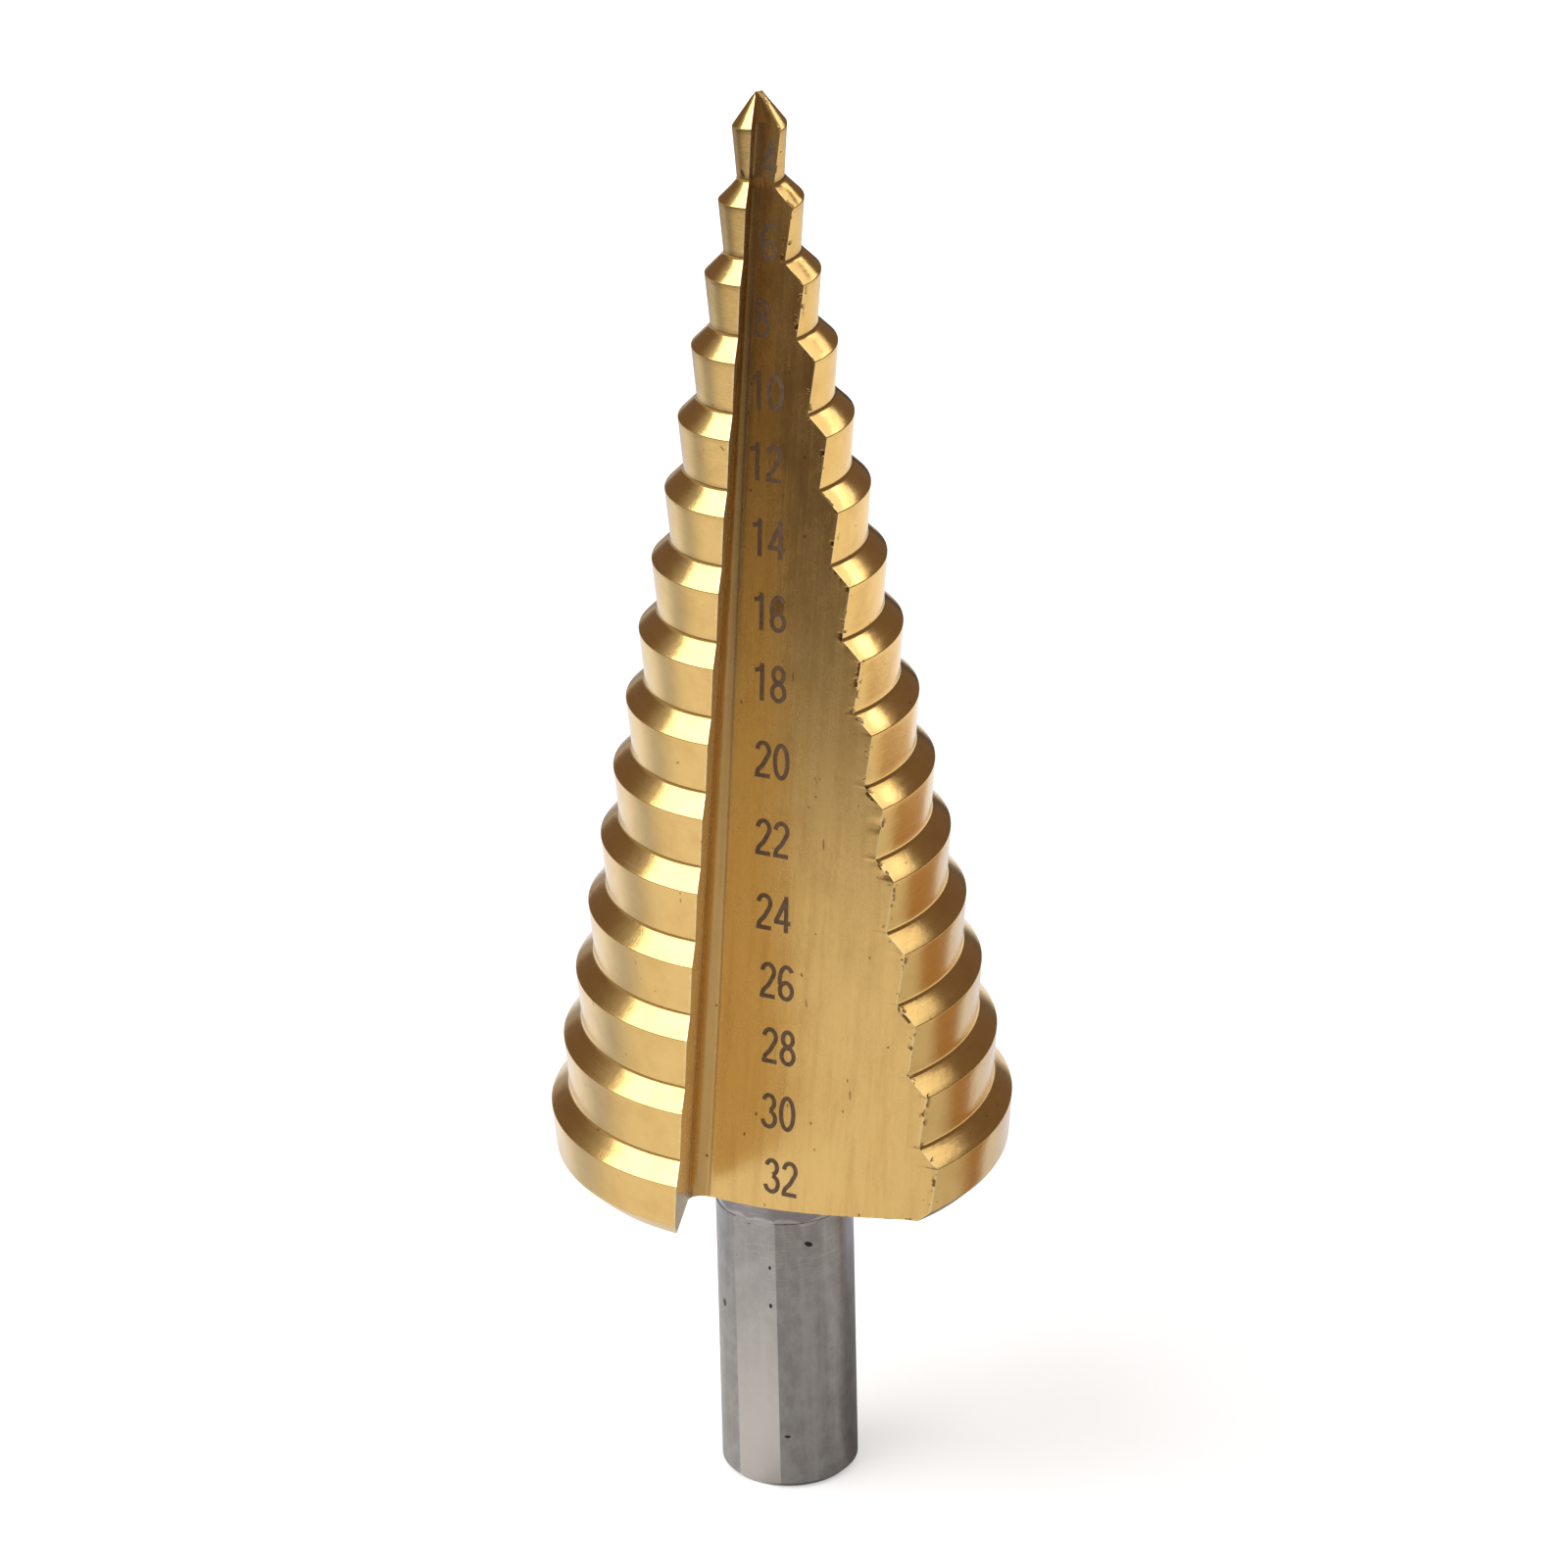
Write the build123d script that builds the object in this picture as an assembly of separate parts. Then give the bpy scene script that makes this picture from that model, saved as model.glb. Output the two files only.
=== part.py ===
from build123d import *
from math import cos, radians, sin, tan
import os

# Stepped head
# The head runs from the smallest to the largest diameter in equal steps, one every step_pitch.
first_diameter = 4.0
diameter_step = 2.0
step_count = 15
step_pitch = 5.0
shoulder_angle = 45.0        # slope of each shoulder, from the axis
back_taper = 4.8             # a land narrows towards the shank by this angle
last_land = 3.2              # the largest land is shorter than the others
rim_chamfer = 1.35           # under the largest land
underside_angle = 10.4       # the underside is a shallow cone
point_angle = 84.0           # angle of the tip over both sides

# Relief behind the cutting edges
# Lands, shoulders and point of each side turn about axes of their own, set off by these amounts.
land_relief = 0.2
shoulder_relief = 0.5
point_relief = 0.3
cutting_side = -20.0         # where the cutting edges lie, from the front towards the right
relief_lead = 34.0           # the offset of lands and shoulders points this far ahead of the cutting edge
point_lead = 80.0            # that of the point reaches over to the other side, which leaves a chisel edge

# Flutes
flute_angle = 71.7           # between the rake face and the back wall
root_radius = 0.9
rake_at_tip = 0.31           # how far the rake face stands off the axis, at the tip and the underside
rake_at_base = 5.7
wall_at_tip = 0.32           # how far the back wall stands off the axis, at the tip and the underside
wall_at_base = 6.6
split_side = 17.0            # the two sides of the head meet on a plane inside the web

# Shank
shank_diameter = 9.52
shank_length = 24.75         # from the end of the shank to the rim of the head
shank_chamfer = 0.4
neck_radius = 0.8
band_height = 1.4            # under the neck the shank is not ground to size but left a little thinner
band_depth = 0.06
flat_side = -21.0            # direction that the flat faces
flat_depth = 0.27
flat_runout = 0.2            # how far the flat runs on into the thinner band


def at(angle, length):
    """Offset of a given length, at an angle from the front (-Y) towards the right (+X)."""
    return Vector(length * sin(radians(angle)), -length * cos(radians(angle)), 0)


def turned(points, centre):
    """Solid of revolution of an (r, z) outline about the upright axis through centre."""
    face = make_face(Polyline(*[(r, 0, z) for r, z in points], close=True))
    return Pos(centre.X, centre.Y, 0) * revolve(face, Axis.Z)


largest_radius = (first_diameter + diameter_step * (step_count - 1)) / 2
last_corner = shank_length + rim_chamfer + last_land
corners = [last_corner + step_pitch * (step_count - 1 - i) for i in range(step_count)]
radii = [(first_diameter + diameter_step * i) / 2 for i in range(step_count)]
taper = tan(radians(back_taper))


def relieved(points, offset, lead):
    """The same, about an axis set off ahead of the cutting edge, and true to size at that edge."""
    smaller = [(r and r - offset * cos(radians(lead)), z) for r, z in points]
    return turned(smaller, at(cutting_side + lead, offset))


def step(i):
    """One step of the head: a back-tapered land under its own shoulder, each relieved."""
    r, z = radii[i], corners[i]
    low = corners[i + 1] if i + 1 < step_count else shank_length + rim_chamfer
    angle, offset, lead = (point_angle / 2, point_relief, point_lead) if i == 0 else (
        shoulder_angle, shoulder_relief, relief_lead)
    slant = tan(radians(angle))
    high = z + r / slant
    land = relieved([(0, low), (r - taper * (z - low), low), (r + taper * (high - z), high), (0, high)],
                    land_relief, relief_lead)
    above = offset * cos(radians(lead)) / slant
    shoulder = relieved([(0, low), (r + slant * (z - low), low), (0, high - above)], offset, lead)
    return land & shoulder


# One side of the head, with its largest land closed by the chamfered rim
side = step(0)
for i in range(1, step_count):
    side += step(i)
rim_radius = largest_radius - taper * last_land
inside_z = shank_length + rim_chamfer
side += relieved([(0, shank_length), (rim_radius - rim_chamfer, shank_length), (rim_radius, inside_z),
                  (0, inside_z)], land_relief, relief_lead)

# Each side keeps its own half, and the other side is the same turned by half a turn
reach = 4 * largest_radius
half = Rot(0, 0, split_side) * Pos(-reach / 2, 0, corners[0]) * Box(reach, reach, 2 * corners[0])
side = side & half
head = side + Rot(0, 0, 180) * side

# Shank and underside are one turned solid, with the end chamfer, the thinner band and the rounded neck
shank_r = shank_diameter / 2
band_r = shank_r - band_depth
under_r = rim_radius - rim_chamfer - 2 * land_relief
dip = radians(underside_angle)
neck_r = band_r + neck_radius
neck_z = shank_length - (under_r - neck_r) * tan(dip) - neck_radius / cos(dip)
blend = (neck_r - neck_radius * sin(dip), neck_z + neck_radius * cos(dip))
middle = (neck_r - neck_radius * cos(dip), neck_z + neck_radius * sin(dip))
band_z = neck_z - band_height
outline = Polyline((band_r, neck_z), (band_r, band_z), (shank_r, band_z), (shank_r, shank_chamfer),
                   (shank_r - shank_chamfer, 0), (0, 0), (0, inside_z), (under_r - rim_chamfer, inside_z),
                   (under_r, shank_length), blend)
outline += ThreePointArc(blend, middle, (band_r, neck_z))
shank = revolve(Plane.XZ * make_face(outline), Axis.Z)

# The flat on the shank, for the chuck to hold
flat_top = band_z + flat_runout
flat = Pos(0, flat_depth - shank_r - reach / 2, flat_top / 2) * Box(shank_diameter, reach, flat_top)
drill = head + shank - Rot(0, 0, flat_side) * flat


def flute_root(rake, back):
    """Where the rake face and the back wall meet, from how far each stands off the axis."""
    lean = radians(90 - flute_angle)
    return Vector(-rake, (rake * sin(lean) - back) / cos(lean), 0)


# The V of a flute, drawn at its root line and swept up that line, which closes in on the axis towards the tip
root_low = flute_root(rake_at_base, wall_at_base) + Vector(0, 0, shank_length)
root_high = flute_root(rake_at_tip, wall_at_tip) + Vector(0, 0, corners[0])
run = root_high - root_low
edges = Polyline((0, 0), at(0, reach), at(flute_angle / 2, reach), at(flute_angle, reach), close=True)
section = make_face(edges)
section = fillet(section.vertices().sort_by_distance((0, 0, 0))[0], root_radius)
below = root_low - run * 0.2
flute = extrude(Pos(*below) * section, amount=run.length * 1.4, dir=run)
drill -= flute + Rot(0, 0, 180) * flute

os.makedirs("parts", exist_ok=True)
export_step(drill.solid(), "parts/step_drill.step")
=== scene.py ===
# %% [markdown]
# # A step drill, from its rule to its finish
# A step drill cuts holes of many sizes in sheet metal. Its head is a cone of steps, each 2 mm larger than the
# one above. This file shows how to build one in Blender: the shape with Geometry Nodes, because every step
# follows the same rule, and the finish with shader nodes.

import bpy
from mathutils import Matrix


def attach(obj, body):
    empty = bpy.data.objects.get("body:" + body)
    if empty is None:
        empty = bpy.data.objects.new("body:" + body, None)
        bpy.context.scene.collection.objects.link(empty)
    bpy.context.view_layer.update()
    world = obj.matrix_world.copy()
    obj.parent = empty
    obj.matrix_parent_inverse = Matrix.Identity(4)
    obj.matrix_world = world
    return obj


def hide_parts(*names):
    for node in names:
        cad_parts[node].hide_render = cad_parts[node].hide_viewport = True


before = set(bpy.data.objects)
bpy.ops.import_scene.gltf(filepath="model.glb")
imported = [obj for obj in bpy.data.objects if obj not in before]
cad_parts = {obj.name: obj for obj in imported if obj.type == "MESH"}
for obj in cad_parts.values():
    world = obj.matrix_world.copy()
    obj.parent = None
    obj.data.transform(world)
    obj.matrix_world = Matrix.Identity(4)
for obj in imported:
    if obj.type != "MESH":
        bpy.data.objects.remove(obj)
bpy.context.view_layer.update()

# %% [markdown]
# ## Sizes
# All sizes of the drill are written once, in millimetres and degrees, as they would stand on a drawing.
# Blender works in metres, so each tree turns its millimetres into metres in its last node.

# %% Sizes of the head
from math import cos, pi, radians, sin, tan

import bpy
from mathutils import Matrix, Vector

MM = 0.001
STEPS = 15
head_sizes = {
    "First diameter": 4.0,
    "Diameter step": 2.0,
    "Step pitch": 5.0,
    "Last corner": 29.3,         # height of the largest cutting corner above the end of the shank
    "Shoulder slope": 45.0,
    "Back taper": 4.8,
    "Last land": 3.2,
    "Point half angle": 42.0,
    "Point top": 101.236,
    "Web radius": 0.5,           # the flutes end at this radius, and the chisel edge lies inside it
    "Inner rounding": 0.45,
    "Outer rounding": 0.11,
    "Relief inwards": 0.165,     # lands close in by this much for each radian behind the cutting edge
    "Relief downwards": 0.245,   # and shoulders drop by this much
    "Flute angle": 71.7,
    "Flute rounding at tip": 0.7,
    "Flute rounding at base": 1.25,
    "Rake at tip": 0.31,
    "Rake at base": 5.7,
    "Wall at tip": 0.32,
    "Wall at base": 6.6,
    "Flute tip height": 99.3,
    "Flute base height": 24.75,
    "Chisel half length": 0.3,
    "Chisel turn": -50.0,
    "Underside slope": 10.4,
    "Underside radius": 13.98,
    "Neck radius": 4.7,
    "Neck rounding": 0.8,
    "Nick depth": 2.2,
    "Seed": 4.0,
}
print(STEPS, "steps from", head_sizes["First diameter"], "mm to",
      head_sizes["First diameter"] + head_sizes["Diameter step"] * (STEPS - 1), "mm")

# %% [markdown]
# The shank is a round bar. A chuck holds it by its flat, which faces a little to the left of the front.

# %% Sizes of the shank
SEAM = 22.2                       # height at which head and shank meet
shank_sizes = {
    "Radius": 4.76,
    "Band radius": 4.70,         # under the head the bar is left a little thinner
    "Band height": 20.98,
    "Chamfer": 0.4,
    "Flat depth": 0.27,
    "Flat top": 21.18,
    "Flat side": -21.0,
    "Top": SEAM,
}
print("the shank is", 2 * shank_sizes["Radius"], "mm across and ends", SEAM, "mm up, inside the head")

# %% [markdown]
# ## Sums written as sums
# A node tree full of Math nodes is hard to read. Value below wraps the output of a node, so that a + b or
# a * b in the script adds the Math node and gives its output. The same wrapper serves geometry and shaders.

# %% A number inside a node tree
class Value:
    """One output of a node, which can be added, multiplied and compared like a number."""

    def __init__(self, tree, socket):
        self.tree, self.socket = tree, socket

    def maths(self, operation, *others):
        node = self.tree.nodes.new("ShaderNodeMath")
        node.operation = operation
        for slot, item in zip(node.inputs, (self,) + others):
            feed(self.tree, slot, item)
        return Value(self.tree, node.outputs[0])

    def __add__(self, other): return self.maths("ADD", other)
    def __radd__(self, other): return self.maths("ADD", other)
    def __mul__(self, other): return self.maths("MULTIPLY", other)
    def __rmul__(self, other): return self.maths("MULTIPLY", other)
    def __truediv__(self, other): return self.maths("DIVIDE", other)
    def __neg__(self): return self.maths("MULTIPLY", -1.0)
    def __sub__(self, other): return self.maths("SUBTRACT", other)
    def __rsub__(self, other): return (-self).maths("ADD", other)
    def __gt__(self, other): return self.maths("GREATER_THAN", other)
    def __lt__(self, other): return self.maths("LESS_THAN", other)
    def sin(self): return self.maths("SINE")
    def cos(self): return self.maths("COSINE")
    def tan(self): return self.maths("TANGENT")
    def asin(self): return self.maths("ARCSINE")
    def root(self): return self.maths("SQRT")
    def floor(self): return self.maths("FLOOR")
    def radians(self): return self.maths("RADIANS")
    def least(self, other): return self.maths("MINIMUM", other)
    def most(self, other): return self.maths("MAXIMUM", other)


print("a Value can be asked for its", ", ".join(name for name in vars(Value) if name[0] != "_"))

# %% [markdown]
# An input of a node takes a Value, a bare socket or a plain number, and feed sorts out which one it was given.

# %% Feeding an input, and blending
def feed(tree, slot, item):
    """Connects a Value or a socket to an input, or writes a plain number there."""
    if isinstance(item, Value):
        tree.links.new(item.socket, slot)
    elif isinstance(item, bpy.types.NodeSocket):
        tree.links.new(item, slot)
    else:
        slot.default_value = item


def blend(a, b, share):
    """From a to b as share goes from 0 to 1."""
    return share * (b - a) + a


print("halfway from 2 to 4 is", blend(2, 4, 0.5))

# %% [markdown]
# ## Short names for nodes
# Shapes, finishes and the room are all trees of nodes, and most nodes need a setting or two and a few links.
# Nodes gives this a short form, so that later cells show what is built and not how nodes are wired.

# %% A tree with short names for its nodes
class Nodes:
    """A node tree of any kind."""

    def __init__(self, tree):
        self.tree = tree

    def node(self, kind, links=None, **settings):
        """Adds a node, makes its settings, and then feeds its inputs."""
        node = self.tree.nodes.new(kind)
        for key, choice in settings.items():
            setattr(node, key, choice)
        for key, item in (links or {}).items():
            feed(self.tree, node.inputs[key], item)
        return node

    def made(self, kind, links=None, **settings):
        """What the first output of a new node gives, such as a shape or a direction."""
        return self.node(kind, links, **settings).outputs[0]

    def value(self, kind, links=None, output=0, **settings):
        return Value(self.tree, self.node(kind, links, **settings).outputs[output])

    def vector(self, x, y, z):
        return self.made("ShaderNodeCombineXYZ", {"X": x, "Y": y, "Z": z})

    def parts(self, vector):
        out = self.node("ShaderNodeSeparateXYZ", {"Vector": vector}).outputs
        return [Value(self.tree, out[i]) for i in range(3)]

    def step(self, number, start, end):
        """Goes smoothly from 0 to 1 while a number goes from start to end."""
        return self.value("ShaderNodeMapRange", {"Value": number, "From Min": start, "From Max": end},
                          interpolation_type="SMOOTHSTEP")

    def mix(self, share, a, b):
        """From colour a to colour b as share goes from 0 to 1."""
        node = self.node("ShaderNodeMix", data_type="RGBA")
        for label, item in (("Factor", share), ("A", a), ("B", b)):
            feed(self.tree, node.inputs[label], (*item, 1) if isinstance(item, tuple) else item)
        return node.outputs["Result"]


print("Nodes can add:", ", ".join(name for name in vars(Nodes) if name[0] != "_"))

# %% [markdown]
# ## A tree that knows its sizes
# Geometry Nodes keep the recipe of a shape, and its sizes are inputs that can be changed later. Maker starts
# such a tree from a list of sizes.

# %% A tree of geometry nodes with named sizes
class Maker(Nodes):
    """A geometry tree whose inputs are the sizes of the piece."""

    def __init__(self, name, sizes):
        super().__init__(bpy.data.node_groups.new(name, "GeometryNodeTree"))
        for label, size in sizes.items():
            entry = self.tree.interface.new_socket(label, in_out="INPUT", socket_type="NodeSocketFloat")
            entry.default_value = size
        self.tree.interface.new_socket("Geometry", in_out="OUTPUT", socket_type="NodeSocketGeometry")
        self.inputs = self.tree.nodes.new("NodeGroupInput")
        self.exit = self.tree.nodes.new("NodeGroupOutput")
        print(name, "has", len(sizes), "sizes as inputs")

    def size(self, label):
        return Value(self.tree, self.inputs.outputs[label])

    def pick(self, when, yes, no):
        """One of two numbers."""
        return self.value("GeometryNodeSwitch", {0: when, 1: no, 2: yes}, input_type="FLOAT")

    def corner(self, curve, index):
        """Radius and height of one point of a curve."""
        place = self.made("GeometryNodeInputPosition")
        point = self.made("GeometryNodeSampleIndex", {"Geometry": curve, "Index": index, "Value": place},
                          data_type="FLOAT_VECTOR", domain="POINT")
        r, _, z = self.parts(point)
        return r, z

    def join(self, *shapes):
        node = self.tree.nodes.new("GeometryNodeJoinGeometry")
        for shape in reversed(shapes):
            self.tree.links.new(shape, node.inputs[0])
        return node.outputs[0]

    def weld(self, shape, distance=0.004):
        return self.made("GeometryNodeMergeByDistance", {"Geometry": shape, "Distance": distance})


# %% [markdown]
# ### From a tree to a mesh
# ended shades a shape smooth except at real edges, gives it its materials, and ends the tree in Realize Instances
# and Set Material. grown runs the tree once on an empty object and keeps the plain mesh.

# %% The end of a tree, and the mesh that it grows
HARD_EDGE = 15.0                  # degrees between two faces, from which their edge stays hard


def ended(maker, shape, material, ground=None):
    """Shades the shape, turns millimetres to metres, and ends the tree; ground is for faces marked as flute."""
    smooth = maker.made("GeometryNodeSetShadeSmooth", {"Geometry": shape, "Shade Smooth": True})
    edge = maker.value("GeometryNodeInputMeshEdgeAngle") > radians(HARD_EDGE)
    hard = maker.made("GeometryNodeSetShadeSmooth", {"Geometry": smooth, "Selection": edge,
                                                     "Shade Smooth": False}, domain="EDGE")
    small = maker.made("GeometryNodeTransform", {"Geometry": hard, "Scale": (MM, MM, MM)})
    real = maker.made("GeometryNodeRealizeInstances", {"Geometry": small})
    done = maker.made("GeometryNodeSetMaterial", {"Geometry": real, "Material": material})
    if ground:
        marked = maker.value("GeometryNodeInputNamedAttribute", {"Name": "flute"}, data_type="FLOAT") > 0.5
        done = maker.made("GeometryNodeSetMaterial", {"Geometry": done, "Selection": marked, "Material": ground})
    maker.tree.links.new(done, maker.exit.inputs[0])


def grown(name, maker, sizes):
    """Runs a tree on an empty object and keeps the result as a plain mesh object."""
    holder = bpy.data.objects.new(name + "_tree", bpy.data.meshes.new(name + "_tree"))
    bpy.context.scene.collection.objects.link(holder)
    modifier = holder.modifiers.new(name, "NODES")
    modifier.node_group = maker.tree
    for entry in maker.tree.interface.items_tree:
        if entry.in_out == "INPUT":
            modifier[entry.identifier] = sizes[entry.name]
    view = bpy.context.evaluated_depsgraph_get()
    mesh = bpy.data.meshes.new_from_object(holder.evaluated_get(view), preserve_all_data_layers=True,
                                           depsgraph=view)
    bpy.data.objects.remove(holder)
    mesh.name = name
    piece = bpy.data.objects.new(name, mesh)
    bpy.context.scene.collection.objects.link(piece)
    print(name, "has", len(mesh.vertices), "points and", len(mesh.polygons), "faces")
    return piece


print("edges sharper than", HARD_EDGE, "degrees stay hard")

# %% [markdown]
# ## Materials
# The head carries a thin gold-coloured nitride coat over ground steel, and the shank is bare ground steel. Image
# textures could show both, but noise on the place in millimetres has no seams and the right scale on every step,
# so a Pattern starts from that place.

# %% A material that knows its place in millimetres
class Pattern(Nodes):
    """A material with the place on the drill in millimetres to draw its patterns by."""

    def __init__(self, name, **constants):
        self.material = bpy.data.materials.new(name)
        self.material.use_nodes = True
        super().__init__(self.material.node_tree)
        self.shader = self.tree.nodes["Principled BSDF"]
        for label, number in constants.items():
            self.shader.inputs[label.replace("_", " ")].default_value = number
        place = self.node("ShaderNodeTexCoord").outputs["Object"]
        self.x, self.y, self.z = (v * 1000.0 for v in self.parts(place))
        self.turn = self.x.maths("ARCTAN2", -self.y)             # from the front towards the right
        self.reach = (self.x * self.x + self.y * self.y).root()  # from the axis
        print("started", name, constants)

    def noise(self, x, y, z, detail=2.0, roughness=0.5, distortion=0.0):
        """Noise between 0 and 1 whose cells are one unit of x, y and z."""
        return self.value("ShaderNodeTexNoise", {"Vector": self.vector(x, y, z), "Scale": 1.0, "Detail": detail,
                                                 "Roughness": roughness, "Distortion": distortion}, "Fac")

    def even(self, pace, detail=2.0, roughness=0.5):
        """Noise with as many cells to a millimetre in every direction."""
        return self.noise(self.x * pace, self.y * pace, self.z * pace, detail, roughness)

    def stored(self, name):
        """A number that the shape keeps on its own points."""
        return self.value("ShaderNodeAttribute", output="Fac", attribute_name=name)


# %% [markdown]
# ### Colours and tool marks
# Ground metal is not one flat gloss: fine lines left by the wheel spread the reflection across them. Finish adds
# this, with a small bump and a tangent along the lines, and lays colours and small marks over each other.

# %% A finish made of nodes
class Finish(Pattern):
    """A pattern with layers of colour, small marks, and lines left by a tool."""

    def dots(self, spots, across, up):
        """Small marks at given places, each (across, up, width, height, tilt); 1 inside a mark and 0 outside."""
        total = 0.0
        for a, u, width, height, tilt in spots:
            du = up - u
            da = across - a + du * tilt
            far = (da * da * (1 / width ** 2) + du * du * (1 / height ** 2)).root()
            total = self.step(far, 1.25, 0.75) + total
        return total.least(1.0)

    def tint(self, colour, layers):
        """A colour with others laid over it, each by its own share."""
        for further, share in layers:
            colour = self.mix(share, colour, further)
        self.tree.links.new(colour, self.shader.inputs["Base Color"])

    def crossed(self, a, b):
        """The direction at right angles to two others."""
        return self.made("ShaderNodeVectorMath", {0: a, 1: b}, operation="CROSS_PRODUCT")

    def worked(self, roughness, height, lines_go_round):
        """Sets the roughness, a bump height in millimetres, and the direction of the tool marks."""
        feed(self.tree, self.shader.inputs["Roughness"], roughness)
        bump = self.made("ShaderNodeBump", {"Height": height * MM, "Distance": 1.0, "Strength": 1.0})
        self.tree.links.new(bump, self.shader.inputs["Normal"])
        normal = self.node("ShaderNodeNewGeometry").outputs["Normal"]
        level = self.crossed(normal, (0.0, 0.0, 1.0))
        if lines_go_round:
            level = self.crossed(level, normal)
        level = self.made("ShaderNodeVectorMath", {0: level}, operation="NORMALIZE")
        self.tree.links.new(level, self.shader.inputs["Tangent"])
        print(self.material.name, "is made of", len(self.tree.nodes), "nodes")
        return self.material


# %% [markdown]
# ### Gold on the lands
# On the real drill each land and shoulder is ground while the drill turns, so its fine lines run round the axis.
# The coat copies the steel under it, and cutting edges wear pale first. The pale cutting edge and the pale line at
# the heel are partly that wear and burrs, and partly painted highlight. The worn edge and the chips at the heel
# read two distances that the shape stores on itself.

# %% Coated lands, turned and ground round the axis
OTHER_SIDE = 50.0                 # moves marks of the front off the back of the drill
coat = Finish("coated_lands", Metallic=1.0, Anisotropic=0.2)
rings = coat.noise(coat.turn * 1.3, coat.z * 6.0, coat.reach * 6.0, 3.0)
cloud, fine, grain = coat.even(0.5, 4.0, 0.6), coat.even(2.2, 3.0, 0.6), coat.even(9.0)
specks = coat.step(coat.even(2.1, 1.0), 0.755, 0.80)
from_cut, from_heel = coat.stored("from_cut"), coat.stored("from_heel")
# pale cutting edge: partly worn coat, partly painted highlight
worn = coat.step(from_cut + fine * 0.5, 0.40, 0.22) * 0.5
chipped = coat.step(from_heel, 0.55, 0.05) * coat.step(coat.even(1.1), 0.58, 0.64)
# pale line at the heel: partly burrs, partly painted highlight
burr_and_edge_glint = coat.step(from_heel, 0.10, 0.05) * 0.4
nick = coat.dots([(-1.0, 96.1, 0.14, 0.26, 0.3)], coat.x + (coat.y > 0.0) * OTHER_SIDE, coat.z)
coat.tint((0.81, 0.55, 0.205), [
    ((0.70, 0.44, 0.15), coat.step(cloud, 0.40, 0.75) * 0.6),
    ((0.86, 0.64, 0.31), coat.step(rings, 0.55, 0.8) * 0.35),
    ((0.90, 0.78, 0.52), worn),
    ((0.90, 0.72, 0.40), burr_and_edge_glint),
    ((0.14, 0.07, 0.03), (specks * 0.6).most(chipped * 0.85).most(nick * 0.8)),
])
lands_gold = coat.worked(cloud * 0.12 + rings * 0.08 + fine * 0.08 + 0.05,
                         rings * 0.0016 + grain * 0.0014 + cloud * 0.014 + fine * 0.0045 - chipped * 0.03,
                         lines_go_round=True)

# %% [markdown]
# ### Gold in the flutes
# The flute is ground in one long pass, so its lines run up the wall along the root of the flute. The noise is
# stretched far along that slanted line and kept narrow across it.

# %% Lines of the wheel along a flute
LEAN_X, LEAN_Y = 0.0723, 0.0649   # the root of a flute nears the axis by this much for each mm of height
FOOT_X = 7.49                     # and would stand this far to the side at the end of the shank
wheel = Finish("coated_flutes", Metallic=1.0, Anisotropic=0.55)
side_of = wheel.y.maths("SIGN")
x_lines = wheel.x + side_of * wheel.z * LEAN_X
y_lines = wheel.y + side_of * wheel.z * LEAN_Y
from_root = FOOT_X - side_of * x_lines
lines = wheel.noise(x_lines * 5.0, y_lines * 5.0, wheel.z * 0.08, 4.0, 0.7)
streaks = wheel.noise(x_lines * 1.4, y_lines * 1.4, wheel.z * 0.12, 3.0, 0.6)
cloud = wheel.noise(wheel.x * 0.45, wheel.y * 0.45, wheel.z * 0.30, 5.0, 0.65)
fine = wheel.noise(wheel.x * 2.4, wheel.y * 2.4, wheel.z * 1.2, 4.0, 0.7)
print("the lines lean by", round(1000 * LEAN_X, 1), "and", round(1000 * LEAN_Y, 1), "mm in a metre")

# %% [markdown]
# The rounding at the root is painted darker as painted shade in the hollow, a thin dark line of painted shade
# divides it from the wall, and the rake face is painted lighter as a painted reflection. Pale lines at the heel
# and the cutting edge are partly burrs and partly painted highlight. The wall has small specks and scuffs from
# chips of metal. The steps near the point have cut little and carry none.

# %% Root with painted shade and light, wear and colour of a flute
WORN_BELOW = 92.0                 # height above which a flute has no specks and chips
shelf = wheel.step(wheel.z, 95.0, 25.0) * 0.75 + 0.55     # width of the rounding at the root
# thin dark line where the rounding meets the wall: painted shade in the crease
painted_crease_shade = wheel.step((from_root - shelf).maths("ABSOLUTE"), 0.13, 0.02) * wheel.step(wheel.z, 95.0, 80.0)
# the rounding at the root painted darker: painted shade in the hollow
painted_root_shade = wheel.step(from_root, shelf + 0.05, shelf - 0.35)
# the rake face painted lighter: a painted reflection
rake = wheel.step(from_root, 0.10, 0.04)
used = wheel.z < WORN_BELOW
specks = used * wheel.step(wheel.noise(wheel.x * 2.3, wheel.y * 2.3, wheel.z * 1.5, 1.0), 0.745, 0.785)
from_heel, from_cut = wheel.stored("from_heel"), wheel.stored("from_cut")
chipped = wheel.step(from_heel, 0.45, 0.10) * used * wheel.step(wheel.even(1.2), 0.57, 0.62)
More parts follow.
